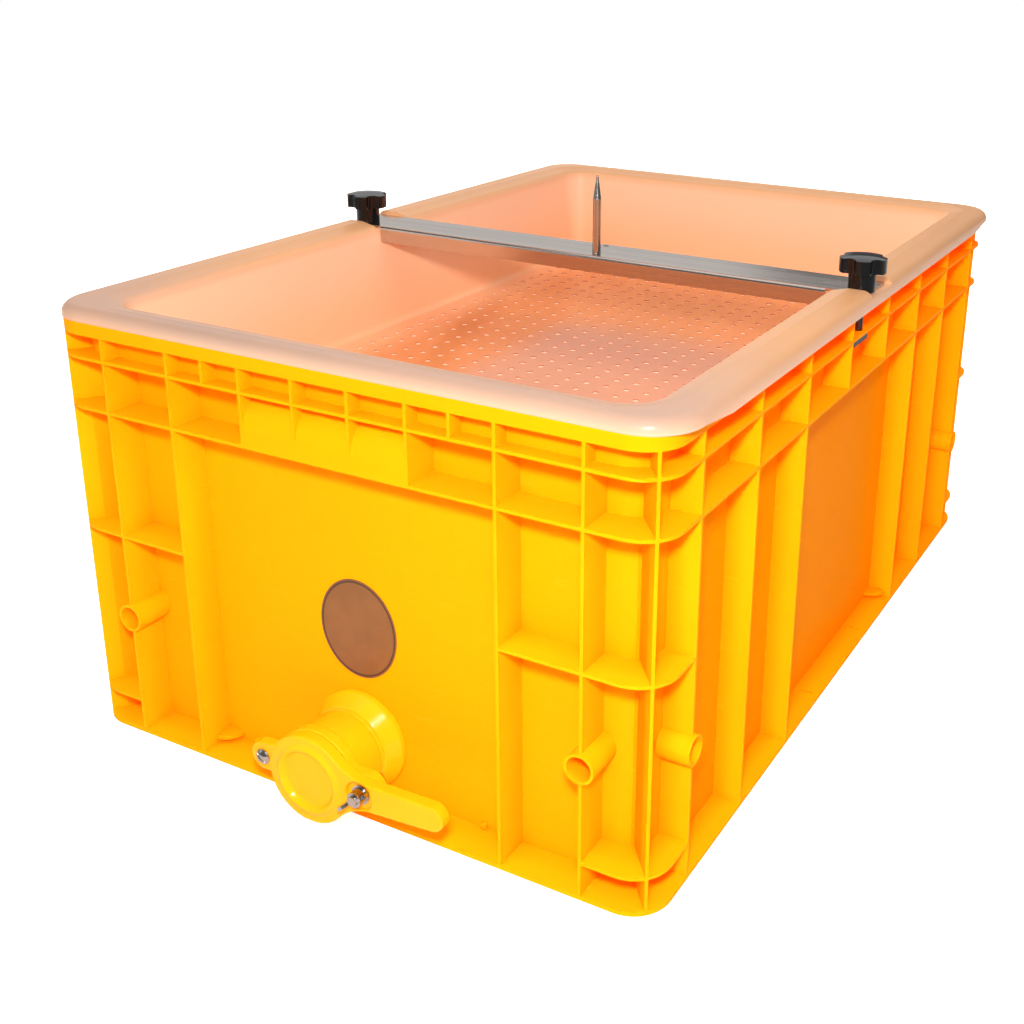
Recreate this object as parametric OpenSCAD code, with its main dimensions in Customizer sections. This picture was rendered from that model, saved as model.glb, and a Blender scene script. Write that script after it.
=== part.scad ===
// Uncapping tank: a ribbed stacking crate, a perforated drain tray on its rim, a clamped
// cross bar with a spike that holds the comb frame, and a swing honey gate in the front wall.
// X runs across the tank, Y from the gate to the back, and Z up from the base.

/* [Crate] */
// Outside length of the crate
crate_l = 630; // [590:5:700]
// Outside width of the crate
crate_w = 420; // [400:5:480]
// Height of the crate to the top of its rim
crate_h = 280; // [260:5:340]
// Radius of the crate's vertical outside corners
crate_corner_r = 24; // [16:1:32]
// Thickness of the crate's inner wall
wall_t = 2.6; // [2:0.1:3.2]
// Thickness of the upright ribs
rib_t = 2; // [1.5:0.1:3]
// Thickness of the level shelves
shelf_t = 2; // [1.5:0.1:3]
// Thickness of the base
base_t = 3; // [2:0.1:5]
// Height of the solid rim
rim_h = 8; // [6:0.5:12]
// Depth of the cells in the short ends
end_recess = 24; // [18:0.5:25]
// Depth of the cells in the long sides
side_recess = 18; // [16:0.5:20]
// Depth of the pockets under the rim in the short ends
end_top_recess = 11; // [8:0.5:14]
// Depth of the pockets under the rim in the long sides
side_top_recess = 14; // [12:0.5:15]
// Radius of the inner wall's corners
inner_corner_r = 16; // [10:1:22]
// Height of the pockets under the rim
top_row_h = 13.5; // [10:0.5:18]
// Height of the second row of cells, which holds the hand grips
second_row_h = 30.5; // [28:0.5:36]
// Top of the middle shelf in the corner cells
mid_shelf_z = 144; // [100:0.5:190]
// Top of the lowest shelf in the corner cells
low_shelf_z = 25.5; // [15:0.5:50]
// Width of the cells at each corner
corner_cell = 45; // [40:1:55]
// Width of the post cells beside the front and back panels
post_cell = 52; // [40:1:60]
// Width of one hand grip cell
grip_cell = 38.4; // [30:0.2:42]
// Number of bays between the corner cells of a long side
side_bays = 7; // [7]
// Outside diameter of the stub tubes
stub_d = 18.4; // [17:0.2:19]
// Bore of the stub tubes
stub_bore = 15; // [11:0.2:15.4]
// Height of the stub tubes' axes
stub_z = 86; // [60:1:120]
// How far the stub tubes stand out of the ribs
stub_proud = 2; // [0.5:0.5:4]
// Number of hand grip cells across each end
grip_cells = 3; // [2:1:3]
// Width of the drain slots at the foot of the side panels
foot_slot_w = 2.5; // [1.5:0.5:4]
// Length of the foot slots
foot_slot_l = 8; // [5:0.5:10]
// Distance of the foot slots from the middle of the panel
foot_slot_y = 52; // [30:1:70]
// Reach of the clips at the foot of the panels
clip_r = 13; // [8:0.5:16]
// Thickness of the clips
clip_t = 2.5; // [1.5:0.5:4]
// Height of the clips above the base
clip_rise = 3; // [1:0.5:8]
// Diameter of the small pips beside the clips
pip_d = 4; // [3:0.5:6]
// Length of the pips
pip_h = 3; // [2:0.5:5]
// Distance of the pips from the panel's ribs
pip_inset = 25; // [18:1:40]

/* [Drain tray] */
// How far the tray's rim stands out past the crate's long sides
tray_side_over = 5.5; // [5:0.5:6.5]
// How far the tray's rim stays inside the crate's short ends
tray_end_in = 0.5; // [0:0.5:1.5]
// Height of the tray's rim above the crate's
tray_rim_h = 8; // [7:0.5:12]
// Radius of the rim's rounded outer edge
tray_roll_r = 7; // [4:0.5:7]
// Outside corner radius of the rim
tray_corner_r = 30; // [24:1:36]
// Width of the rim from its edge to the crease, along the long sides
tray_side_rim = 25.5; // [24:0.5:28]
// Width of the rim from its edge to the crease, along the short ends
tray_end_rim = 21.5; // [20.5:0.5:23]
// Width of the slope between the level crest and the crease
tray_crease_w = 8.5; // [6:0.5:9]
// Drop from the crest to the crease
tray_crease_drop = 2; // [1:0.5:3]
// How far the skirt along the long sides hangs below the crate's rim
tray_skirt_h = 4; // [2:0.5:6]
// Thickness of the skirt
tray_skirt_t = 4.5; // [3:0.5:4.5]
// Length over which the skirt fades out at each end
tray_skirt_fade = 35; // [10:1:80]
// Radius where the rim turns down into the wall
tray_lip_r = 6; // [4:0.5:8]
// Lean of the tray's walls in degrees
tray_draft = 8.5; // [6:0.5:11]
// Depth of the tray from its crest to its floor
tray_depth = 80; // [60:1:90]
// Thickness of the tray's walls and floor
tray_t = 3; // [2:0.1:4]
// Radius between the walls and the floor
tray_foot_r = 5; // [3:0.5:8]
// Corner radius of the flat floor
tray_floor_corner_r = 4; // [2:0.5:8]
// Diameter of the drain holes
drain_d = 4.8; // [3:0.1:7]
// Spacing of the drain holes
drain_pitch = 15.5; // [12:0.5:24]
// Plain margin of the floor round the drain holes
drain_margin = 9; // [6:0.5:20]

/* [Cross bar] */
// Width of the bar
bar_w = 40; // [36:1:50]
// Thickness of the bar's sheet
bar_t = 1.8; // [1.2:0.1:2.5]
// Height of the bar's flanges
bar_flange_h = 12; // [8:0.5:16]
// Outside radius of the bar's bends
bar_bend_r = 2.6; // [2.6:0.1:4]
// How far the bar's ends stop short of the tray's edge
bar_end_gap = 4.5; // [3:0.5:6]
// Room between the ends of the flanges and the tray's walls
flange_end_gap = 2; // [1:0.5:10]
// Depth of the seats in the tray's rim that the bar's ends lie in
bar_seat_depth = 4.5; // [2:0.5:5]
// Distance of the knobs and the spike line from the bar's front edge
bar_hole_inset = 8; // [7:0.5:10]
// Distance of the studs from the tray's edge
stud_inset = 13.5; // [13:0.5:14]
// How far the pair of studs stands to the right of the middle
clamp_shift = 2; // [0:0.5:2]
// Diameter of the peg hole behind the spike
peg_hole_d = 4; // [3:0.5:6]
// Distance of the peg hole from the bar's back edge
peg_hole_inset = 6; // [5:0.5:14]
// Corner radius of the bar's end tabs
tab_r = 3; // [1:0.5:6]

/* [Spike] */
// Diameter of the spike
spike_d = 6; // [5:0.5:8]
// Height of the spike above the bar
spike_h = 57; // [40:1:80]
// Length of the spike's point
spike_point_h = 17; // [10:1:25]
// Diameter of the spike's tip
spike_tip_d = 1; // [0.6:0.1:2]
// Diameter of the shank that passes through the bar
spike_shank_d = 4; // [3:0.5:4.5]
// Height of the shank's riveted end
spike_rivet_h = 1.5; // [1:0.1:2.5]
// Distance of the spike to the right of the bar's middle
spike_x = 6; // [0:1:20]

/* [Clamp knobs] */
// Diameter of the star head over its lobes
knob_d = 31; // [28:0.5:34]
// Height of the star head
knob_head_h = 11; // [9:0.5:14]
// Diameter of the knob's neck
knob_neck_d = 18; // [15:0.5:20]
// Height of the knob's neck
knob_neck_h = 13; // [10:0.5:18]
// Number of lobes on the star head
knob_lobes = 5; // [5:1:6]
// Rise of the star head's domed top
knob_dome_h = 1.6; // [1:0.1:2.5]
// Place of the hollows between the lobes, as a share of the head's radius
knob_hollow_share = 1.19; // [1.1:0.01:1.25]
// Radius of those hollows, as a share of the head's radius
knob_hollow_size_share = 0.4; // [0.3:0.01:0.45]
// Diameter of the studs
stud_d = 6; // [5:0.5:6.5]
// Length of stud held inside the knob
stud_grip = 14; // [10:0.5:18]
// Length of stud that stands out below the clamp plate
stud_tail = 3; // [3:0.5:6]
// Clearance between a clamp plate and the rib in front of it
clamp_room = 2.57; // [1:0.01:4]
// Distance of the stud from the back end of its clamp plate
clamp_hole_inset = 5; // [5:0.5:8]
// Width of the clamp plates
clamp_w = 11; // [10:0.5:12]
// Thickness of the clamp plates
clamp_t = 4; // [3:0.5:6]

/* [Honey gate] */
// Place of the gate's axis across the front
gate_x = -0.5; // [-15:0.5:15]
// Height of the gate's axis
gate_z = 37.5; // [37:0.5:45]
// Lean of the gate's ears and lever in degrees, up on the handle's side
gate_tilt = 3; // [0:0.5:6]
// Bore of the gate
gate_bore = 38; // [32:1:39]
// Diameter of the gate's threaded neck inside the wall
gate_thread_d = 45; // [43.5:0.5:47]
// Diameter of the gate's neck in front of the wall
gate_neck_d = 48; // [47.5:0.5:52]
// Diameter of the flange against the wall
gate_flange_d = 65; // [62:0.5:66]
// Thickness of the flange's edge
gate_flange_t = 4; // [3:0.5:5]
// Length of the flange's cone
gate_cone_l = 9; // [6:0.5:10]
// Diameter of the collar behind the face plate
gate_collar_d = 52; // [50:0.5:54]
// Width of the groove between the flange's cone and the collar
gate_groove_w = 3; // [2:0.5:5]
// How far the face plate stands in front of the crate
gate_reach = 20; // [16:0.5:28]
// Thickness of the face plate
gate_plate_t = 7; // [5:0.5:9]
// Diameter of the round part of the face plate and of the lever's disc
gate_disc_d = 57; // [56:0.5:59]
// Distance of the pivot from the gate's axis
gate_ear = 37; // [36.5:0.5:42]
// Distance of the stop screw from the gate's axis
stop_ear = 41; // [39:0.5:44]
// Diameter of the ears
gate_ear_d = 19; // [17:0.5:21]
// Diameter of the lock nut
lock_nut_d = 62; // [58:0.5:63]
// Thickness of the lock nut
lock_nut_h = 9; // [6:0.5:14]
// Number of grip notches round the lock nut
lock_nut_notches = 8; // [6:1:10]
// Diameter of the grip notches
notch_d = 8; // [5:0.5:10]
// Thickness of the rubber gasket
gasket_t = 2.5; // [1.5:0.5:4]

/* [Gate lever] */
// Thickness of the lever's disc
lever_t = 8; // [7:0.5:10]
// Length of the handle from the gate's axis to its end
lever_l = 95; // [85:1:120]
// Height of the handle where it leaves the disc
lever_root_h = 18; // [17:0.5:22]
// Height of the handle at its end
lever_end_h = 16; // [13:0.5:18]
// Distance from the gate's axis to where the handle's edges run straight
lever_blend = 46; // [44:0.5:52]
// Height of the shoulders as a share of the height at which they meet the disc
shoulder_share = 0.96; // [0.9:0.01:0.98]
// Outside diameter of the raised ring
lever_ring_d = 45; // [42:0.5:47]
// Width of the raised ring
lever_ring_w = 4; // [3:0.25:5]
// Plain land inside the raised ring
lever_land = 0.6; // [0.4:0.1:1.5]
// Depth of the dished middle
lever_dish = 1.4; // [0.5:0.1:2.5]
// Diameter of the pocket round the wing nut
lever_spot_d = 18; // [16:0.5:19]
// Depth of that pocket
lever_spot_depth = 3; // [2:0.25:4]

/* [Gate fasteners] */
// Diameter of the pivot bolt
pivot_d = 6; // [5:0.5:6.5]
// Width across the flats of the pivot bolt's head
pivot_head_af = 10; // [9:0.5:11]
// Height of the pivot bolt's head
pivot_head_h = 4; // [3:0.5:5]
// Diameter of the washer under the wing nut
pivot_washer_d = 12; // [11:0.5:13]
// Thickness of the washer
pivot_washer_t = 1.2; // [0.8:0.1:2]
// Diameter of the wing nut's hub
wing_hub_d = 9.5; // [8.5:0.5:10.5]
// Height of the wing nut's hub
wing_hub_h = 6; // [5:0.5:8]
// Span over the wing nut's wings
wing_span = 25; // [21:0.5:27]
// Thickness of the wings
wing_t = 2; // [1.5:0.25:3]
// How far the wings rise above the hub
wing_rise = 5; // [3:0.5:7]
// Angle at which the wing nut stands
wing_angle = 35; // [0:5:180]
// Diameter of the stop screw
stop_d = 5; // [4:0.5:5.5]
// Diameter of the stop screw's head
stop_head_d = 10; // [9:0.5:11]
// Height of the stop screw's head
stop_head_h = 3.4; // [2.5:0.1:4]
// Height of the straight edge of the stop screw's head
stop_edge_h = 1; // [0.5:0.1:1.5]
// Depth of the slots in the stop screw's head
stop_slot_depth = 1.2; // [0.8:0.1:1.6]
// Width of those slots
stop_slot_w = 1.2; // [0.8:0.1:1.6]
// Width across the flats of the stop screw's nut
stop_nut_af = 8; // [7.5:0.5:9]
// Height of the stop screw's nut
stop_nut_h = 4; // [3:0.5:5]

/* [Label] */
// Width of the oval sticker
label_w = 56; // [40:1:70]
// Height of the oval sticker
label_h = 65; // [40:1:75]
// Thickness of the sticker
label_t = 0.4; // [0.3:0.1:0.8]
// Height of the sticker's middle
label_z = 112; // [105:1:140]

/* [Fits] */
// Overrun of cuts past the faces that they open
over = 1; // [0.5:0.1:2]
// Radial room of a stud in a plain hole
hole_room = 0.5; // [0.3:0.1:0.7]
// Room beside the bar in the seats of the tray's rim
seat_room = 1.5; // [1.2:0.1:2]
// Radial running fit of a turning piece on its bolt or stud
run_fit = 0.05; // [0.02:0.01:0.1]
// Room between the lever's disc and the face plate that it slides on
slide_room = 0.2; // [0.1:0.05:0.4]
// Radial room of the gate's thread in the wall
gate_hole_room = 0.5; // [0.3:0.1:1]
// Overlap where stretches of one moulding run into each other
fuse = 1; // [0.5:0.1:1.4]
// Step to which the lean of the tray's wall and the length of the clamp plates are rounded
size_step = 0.01; // [0.01:0.01:0.05]

/* [Hidden] */
$fn = 64;
// Sides of the label's outline
label_sides = 64;
// Segments in a rounded stretch of the tray's section
arc_steps = 6;

// Crate heights
top_shelf_z = crate_h - rim_h - top_row_h - shelf_t;
second_shelf_z = top_shelf_z - second_row_h - shelf_t;
// Rib places
end_outer_rib = crate_w / 2 - corner_cell;
end_inner_rib = end_outer_rib - post_cell;
grip_edge = grip_cells * grip_cell / 2;
end_top_rib = (grip_edge + end_inner_rib) / 2;
side_end_rib = crate_l / 2 - corner_cell;
side_bay = 2 * side_end_rib / side_bays;
panel_rib = 3 * side_bay / 2;
// Inner wall sizes, below and above the top shelf
low_w = crate_w - 2 * side_recess;
low_l = crate_l - 2 * end_recess;
high_w = crate_w - 2 * side_top_recess;
high_l = crate_l - 2 * end_top_recess;

// Tray outline, and its section measured inwards from the crest's inner edge
tray_w = crate_w + 2 * tray_side_over;
tray_l = crate_l - 2 * tray_end_in;
crest_w = tray_w - 2 * (tray_side_rim - tray_crease_w);
crest_l = tray_l - 2 * (tray_end_rim - tray_crease_w);
tray_crest_z = crate_h + tray_rim_h;
tray_floor_z = tray_crest_z - tray_depth;
roll_z = tray_crest_z - tray_roll_r;
lip_z = tray_crest_z - tray_crease_drop - tray_lip_r;
lip_end = [tray_crease_w + tray_lip_r * cos(tray_draft), lip_z + tray_lip_r * sin(tray_draft)];
foot_z = tray_floor_z + tray_foot_r;
foot_exact = lip_end[0] + (lip_end[1] - foot_z) * tan(tray_draft) + tray_foot_r / cos(tray_draft);
foot_in = size_step * round(foot_exact / size_step);
inner_path_r = foot_in + tray_floor_corner_r;
floor_w = crest_w - 2 * foot_in;
floor_l = crest_l - 2 * foot_in;
drain_columns = floor((floor_w - 2 * drain_margin) / drain_pitch) + 1;
drain_rows = floor((floor_l - 2 * drain_margin) / drain_pitch) + 1;

// Bar, spike and clamps
bar_z = tray_crest_z - bar_seat_depth;
bar_top = bar_z + bar_t;
bar_half = tray_w / 2 - bar_end_gap;
flange_half = crest_w / 2 - lip_end[0] - flange_end_gap;
stud_half = tray_w / 2 - stud_inset;
stud_y = bar_hole_inset - bar_w / 2;
stud_hole_d = stud_d + 2 * hole_room;
clamp_z = top_shelf_z - clamp_t;
stud_foot = clamp_z - stud_tail;
clamp_run = stud_y + clamp_hole_inset + side_bay / 2 - rib_t / 2 - clamp_room;
clamp_l = size_step * floor(clamp_run / size_step);
clamp_y = stud_y + clamp_hole_inset - clamp_l / 2;

// Gate planes, along Y
panel_y = end_recess - crate_l / 2;
wall_in_y = panel_y + wall_t;
plate_back_y = -crate_l / 2 - gate_reach + gate_plate_t;
plate_front_y = plate_back_y - gate_plate_t;
disc_back_y = plate_front_y - slide_room;
disc_front_y = disc_back_y - lever_t;
spot_y = disc_front_y + lever_spot_depth;
wing_back_y = spot_y - pivot_washer_t;
lock_nut_y = wall_in_y + gasket_t;
gate_neck_end_y = lock_nut_y + lock_nut_h;
pivot_x = gate_x + gate_ear;
stop_x = gate_x - stop_ear;
// Radius that blends the disc into the straight edge of the handle
lever_blend_r = (lever_blend ^ 2 + (lever_root_h / 2) ^ 2 - (gate_disc_d / 2) ^ 2)
                / (gate_disc_d - lever_root_h);

// Place across the tank of the stud on side s
function stud_at(s) = clamp_shift + s * stud_half;

// Points of an arc, with angles in degrees
function arc(centre, r, from, to) =
    [for (i = [0 : arc_steps]) let (a = from + (to - from) * i / arc_steps)
        centre + r * [cos(a), sin(a)]];

// Rectangle with round corners
module round_rect(w, l, r) {
    square([w - 2 * r, l], center = true);
    square([w, l - 2 * r], center = true);
    for (x = [-1, 1], y = [-1, 1])
        translate([x * (w / 2 - r), y * (l / 2 - r)]) circle(r);
}

// Upright block with round corners
module round_block(w, l, r, z0, z1) {
    translate([0, 0, z0]) linear_extrude(z1 - z0) round_rect(w, l, r);
}

// Block given by its middle and size across, and by its lowest and highest Z
module slab(x, y, size_x, size_y, z0, z1) {
    translate([x - size_x / 2, y - size_y / 2, z0]) cube([size_x, size_y, z1 - z0]);
}

// The children at the front, and turned half round at the back
module both_ends() {
    for (a = [0, 180]) rotate([0, 0, a]) children();
}

// Cylinder along Y that starts at y0 and ends at y1
module y_rod(x, z, y0, y1, d) {
    translate([x, y0, z]) rotate([-90, 0, 0]) cylinder(h = y1 - y0, d = d);
}

// Hexagonal prism along Z with a round hole
module hex_nut(af, h, hole_d) {
    difference() {
        cylinder(h = h, d = af / cos(30), $fn = 6);
        translate([0, 0, -over]) cylinder(h = h + 2 * over, d = hole_d);
    }
}

// Everything inside the crate's walls, open at the top
module crate_cavity() {
    round_block(low_w - 2 * wall_t, low_l - 2 * wall_t, inner_corner_r, base_t, crate_h);
    round_block(high_w - 2 * wall_t, high_l - 2 * wall_t, inner_corner_r,
                top_shelf_z + shelf_t, crate_h + over);
}

// Upright ribs across the crate, which the cavity splits into front and back or left and right
module crate_ribs() {
    rib_top = crate_h - rim_h;
    for (s = [-1, 1]) {
        for (x = [end_outer_rib, end_inner_rib]) slab(s * x, 0, rib_t, crate_l, 0, rib_top);
        slab(s * end_top_rib, 0, rib_t, crate_l, top_shelf_z, rib_top);
        for (y = [side_bay / 2, panel_rib]) slab(0, s * y, crate_w, rib_t, second_shelf_z, rib_top);
        for (y = [panel_rib, panel_rib + side_bay, side_end_rib])
            slab(0, s * y, crate_w, rib_t, 0, rib_top);
    }
    for (i = [0 : grip_cells])
        slab(i * grip_cell - grip_edge, 0, rib_t, crate_l, second_shelf_z, rib_top);
}

// Level shelves: two all round, and two more in the corner cells
module crate_shelves() {
    round_block(crate_w, crate_l, crate_corner_r, top_shelf_z, top_shelf_z + shelf_t);
    difference() {
        round_block(crate_w, crate_l, crate_corner_r, second_shelf_z, second_shelf_z + shelf_t);
        slab(0, 0, 2 * grip_edge, crate_l + 2 * over, second_shelf_z - over,
             second_shelf_z + shelf_t + over);
    }
    corner_shelf(mid_shelf_z, end_inner_rib);
    corner_shelf(low_shelf_z, end_outer_rib);
}

// Shelf in the four corners, from the rib at x0 outwards
module corner_shelf(top_z, x0) {
    intersection() {
        round_block(crate_w, crate_l, crate_corner_r, top_z - shelf_t, top_z);
        for (x = [-1, 1], y = [-1, 1])
            slab(x * (x0 + crate_w / 2) / 2, y * (side_end_rib + crate_l / 2) / 2,
                 crate_w / 2 - x0, corner_cell, top_z - shelf_t - over, top_z + over);
    }
}

// Slanting web from each corner of the inner wall to the rim's corner
module corner_webs() {
    corner = [low_w / 2 - inner_corner_r, low_l / 2 - inner_corner_r];
    tip = [crate_w / 2, crate_l / 2] - crate_corner_r * (1 - cos(45)) * [1, 1];
    intersection() {
        round_block(crate_w, crate_l, crate_corner_r, 0, crate_h - rim_h);
        for (x = [-1, 1], y = [-1, 1])
            translate([x * corner[0], y * corner[1], 0])
                rotate([0, 0, atan2(y * (tip[1] - corner[1]), x * (tip[0] - corner[0]))])
                    translate([0, -rib_t / 2, 0]) cube([2 * corner_cell, rib_t, crate_h]);
    }
}

// Quarter-round hand grips, open below for the fingers
module hand_grips() {
    r = end_recess;
    arc_z = top_shelf_z - r;
    both_ends()
        translate([-grip_edge, -crate_l / 2, 0]) rotate([90, 0, 90]) linear_extrude(2 * grip_edge) {
            difference() {
                translate([r, arc_z]) circle(r);
                translate([r, arc_z]) circle(r - wall_t);
                translate([-over, arc_z - r - over]) square([2 * r + 2 * over, r + over]);
                translate([r, arc_z - over]) square([r + over, r + 2 * over]);
            }
            translate([0, second_shelf_z]) square([wall_t, arc_z - second_shelf_z]);
        }
}

// Places of the stub tubes: each tube runs along -Y from the face that it stands on
module at_stubs() {
    both_ends() for (s = [-1, 1]) {
        translate([s * end_outer_rib, -crate_l / 2, stub_z]) children(0);
        rotate([0, 0, 90]) translate([s * side_end_rib, -crate_w / 2, stub_z]) children(1);
    }
}

// Short tube from the wall to just outside the ribs
module stub(depth, d, inner_over) {
    rotate([-90, 0, 0]) translate([0, 0, -stub_proud - inner_over])
        cylinder(h = depth + stub_proud + inner_over, d = d);
}

// Clips and pips at the foot of the panels
module panel_clips() {
    clip_z = base_t + clip_rise;
    both_ends() for (s = [-1, 1]) {
        clip(s * end_inner_rib, panel_y, clip_z);
        rotate([0, 0, 90]) clip(s * panel_rib, side_recess - crate_w / 2, clip_z);
        y_rod(s * (end_inner_rib - pip_inset), clip_z, panel_y - pip_h, panel_y + wall_t / 2, pip_d);
    }
}

// Quarter disc in the corner between the rib at x and the wall at y
module clip(x, y, z) {
    intersection() {
        translate([x, y, z]) cylinder(h = clip_t, r = clip_r);
        slab(0, y, 2 * abs(x), 2 * clip_r, z, z + clip_t);
    }
}

module tank() {
    color("gold") difference() {
        union() {
            round_block(crate_w, crate_l, crate_corner_r, 0, base_t);
            round_block(low_w, low_l, inner_corner_r + wall_t, 0, top_shelf_z + shelf_t);
            round_block(high_w, high_l, inner_corner_r + wall_t, top_shelf_z, crate_h);
            round_block(crate_w, crate_l, crate_corner_r, crate_h - rim_h, crate_h);
            crate_shelves();
            crate_ribs();
            corner_webs();
            hand_grips();
            panel_clips();
            at_stubs() {
                stub(end_recess, stub_d, 0);
                stub(side_recess, stub_d, 0);
            }
        }
        crate_cavity();
        at_stubs() {
            stub(end_recess, stub_bore, over);
            stub(side_recess, stub_bore, over);
        }
        y_rod(gate_x, gate_z, panel_y - over, wall_in_y + over, gate_thread_d + 2 * gate_hole_room);
        for (s = [-1, 1])
            translate([stud_at(s), stud_y, top_shelf_z - over])
                cylinder(h = crate_h - top_shelf_z + 2 * over, d = stud_hole_d);
        for (x = [-1, 1], y = [-1, 1])
            slab(x * (crate_w - side_recess) / 2, y * foot_slot_y, foot_slot_l, foot_slot_w,
                 -over, base_t + over);
    }
}

// Section of the tray from the crest's inner edge to the floor, at the path's own radius
module tray_section() {
    slope = tan(tray_draft);
    out = tray_t / cos(tray_draft);
    foot_centre = [foot_in, foot_z];
    top_line = concat(
        [[-fuse, tray_crest_z], [0, tray_crest_z]],
        arc([tray_crease_w, lip_z], tray_lip_r, 90, tray_draft),
        arc(foot_centre, tray_foot_r, 180 + tray_draft, 270));
    under_line = concat(
        arc(foot_centre, tray_foot_r + tray_t, 270, 180 + tray_draft),
        [[lip_end[0] + (lip_end[1] - crate_h) * slope - out, crate_h], [-fuse, crate_h]]);
    translate([inner_path_r, 0]) mirror([1, 0]) polygon(concat(top_line, under_line));
}

// Section of the rim's rounded outer edge
module roll_section() {
    translate([tray_corner_r - tray_roll_r, 0]) intersection() {
        union() {
            translate([0, roll_z]) circle(tray_roll_r);
            translate([-fuse, crate_h]) square([fuse + tray_roll_r, roll_z - crate_h]);
            translate([-fuse, crate_h]) square([fuse, tray_rim_h]);
        }
        translate([-fuse, crate_h]) square([fuse + tray_roll_r, tray_rim_h]);
    }
}

// Runs a section round a rectangle with corners of radius r, measured at the section's own r
module sweep_round(w, l, r) {
    for (a = [0, 90, 180, 270]) {
        side = a % 180 == 0 ? [w, l] : [l, w];
        rotate([0, 0, a]) translate([side[0] / 2 - r, side[1] / 2 - r, 0]) {
            rotate_extrude(angle = 90) children();
            rotate([90, 0, 0]) linear_extrude(side[1] - 2 * r) children();
        }
    }
}

// Skirt that hangs over the crate's rim along the long sides, fading out towards the corners
module tray_skirts() {
    half = tray_l / 2 - tray_corner_r;
    low = half - tray_skirt_fade;
    low_z = crate_h - tray_skirt_h;
    for (x = [-tray_w / 2, tray_w / 2 - tray_skirt_t])
        translate([x, 0, 0]) rotate([90, 0, 90]) linear_extrude(tray_skirt_t)
            polygon([[-half, roll_z], [-half, crate_h], [-low, low_z],
                     [low, low_z], [half, crate_h], [half, roll_z]]);
}

module drain_tray() {
    color("peachpuff") difference() {
        union() {
            sweep_round(tray_w, tray_l, tray_corner_r) roll_section();
            translate([0, 0, crate_h]) linear_extrude(tray_rim_h) difference() {
                round_rect(tray_w - 2 * tray_roll_r, tray_l - 2 * tray_roll_r,
                           tray_corner_r - tray_roll_r);
                round_rect(crest_w, crest_l, inner_path_r);
            }
            sweep_round(crest_w, crest_l, inner_path_r) tray_section();
            tray_skirts();
        }
        for (s = [-1, 1])
            translate([stud_at(s), stud_y, crate_h - over])
                cylinder(h = tray_rim_h + 2 * over, d = stud_hole_d);
        slab(0, 0, tray_w + 2 * over, bar_w + 2 * seat_room, bar_z, tray_crest_z + over);
    }
}

// Perforated floor of the tray
module drain_floor() {
    first = [drain_columns - 1, drain_rows - 1] * -drain_pitch / 2;
    color("peachpuff") translate([0, 0, tray_floor_z - tray_t]) linear_extrude(tray_t) difference() {
        round_rect(floor_w, floor_l, tray_floor_corner_r);
        for (i = [0 : drain_columns - 1], j = [0 : drain_rows - 1])
            translate(first + drain_pitch * [i, j]) circle(d = drain_d, $fn = 24);
    }
}

// Section of the bent channel, across the bar
module bar_section() {
    difference() {
        union() {
            translate([-bar_w / 2 + bar_bend_r, bar_t - bar_bend_r])
                square([bar_w - 2 * bar_bend_r, bar_bend_r]);
            for (s = [-1, 1]) translate([s * (bar_w / 2 - bar_bend_r), bar_t - bar_bend_r])
                circle(bar_bend_r);
            translate([-bar_w / 2, bar_t - bar_flange_h])
                square([bar_w, bar_flange_h - bar_bend_r]);
        }
        translate([-bar_w / 2 + bar_t, bar_t - bar_flange_h - over])
            square([bar_w - 2 * bar_t, bar_flange_h - bar_t + over]);
    }
}

module cross_bar() {
    color("silver") translate([0, 0, bar_z]) difference() {
        union() {
            translate([-flange_half, 0, 0]) rotate([90, 0, 90])
                linear_extrude(2 * flange_half) bar_section();
            linear_extrude(bar_t) round_rect(2 * bar_half, bar_w - bar_bend_r, tab_r);
        }
        for (s = [-1, 1]) translate([stud_at(s), stud_y, -over])
            cylinder(h = bar_t + 2 * over, d = stud_hole_d);
        translate([spike_x, stud_y, -over]) cylinder(h = bar_t + 2 * over, d = spike_shank_d);
        translate([0, bar_w / 2 - peg_hole_inset, -over])
            cylinder(h = bar_t + 2 * over, d = peg_hole_d);
    }
}

module spike() {
    color("lightgray") translate([spike_x, stud_y, bar_top]) {
        cylinder(h = spike_h - spike_point_h, d = spike_d);
        translate([0, 0, spike_h - spike_point_h])
            cylinder(h = spike_point_h, d1 = spike_d, d2 = spike_tip_d);
        translate([0, 0, -bar_t - spike_rivet_h]) cylinder(h = bar_t + spike_rivet_h, d = spike_shank_d);
        translate([0, 0, -bar_t - spike_rivet_h]) cylinder(h = spike_rivet_h, d = spike_d);
    }
}

// Outline of the star head
module star_outline() {
    difference() {
        circle(d = knob_d);
        for (i = [0 : knob_lobes - 1]) rotate([0, 0, (i + 0.5) * 360 / knob_lobes])
            translate([knob_hollow_share * knob_d / 2, 0]) circle(knob_hollow_size_share * knob_d / 2);
    }
}

// Star knob with a domed head, at the stud on side s
module knob(s) {
    dome_r = (knob_d ^ 2 / 4 + knob_dome_h ^ 2) / (2 * knob_dome_h);
    head_z = bar_top + knob_neck_h;
    color("black") translate([stud_at(s), stud_y, 0]) difference() {
        union() {
            translate([0, 0, bar_top]) cylinder(h = knob_neck_h, d = knob_neck_d);
            intersection() {
                translate([0, 0, head_z]) linear_extrude(knob_head_h) star_outline();
                translate([0, 0, head_z + knob_head_h - dome_r]) sphere(dome_r);
            }
        }
        translate([0, 0, bar_top - over]) cylinder(h = stud_grip + over, d = stud_d);
    }
}

// Threaded rod from inside the knob to below the clamp plate
module stud(s) {
    color("dimgray") translate([stud_at(s), stud_y, stud_foot])
        cylinder(h = bar_top + stud_grip - stud_foot, d = stud_d);
}

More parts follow.
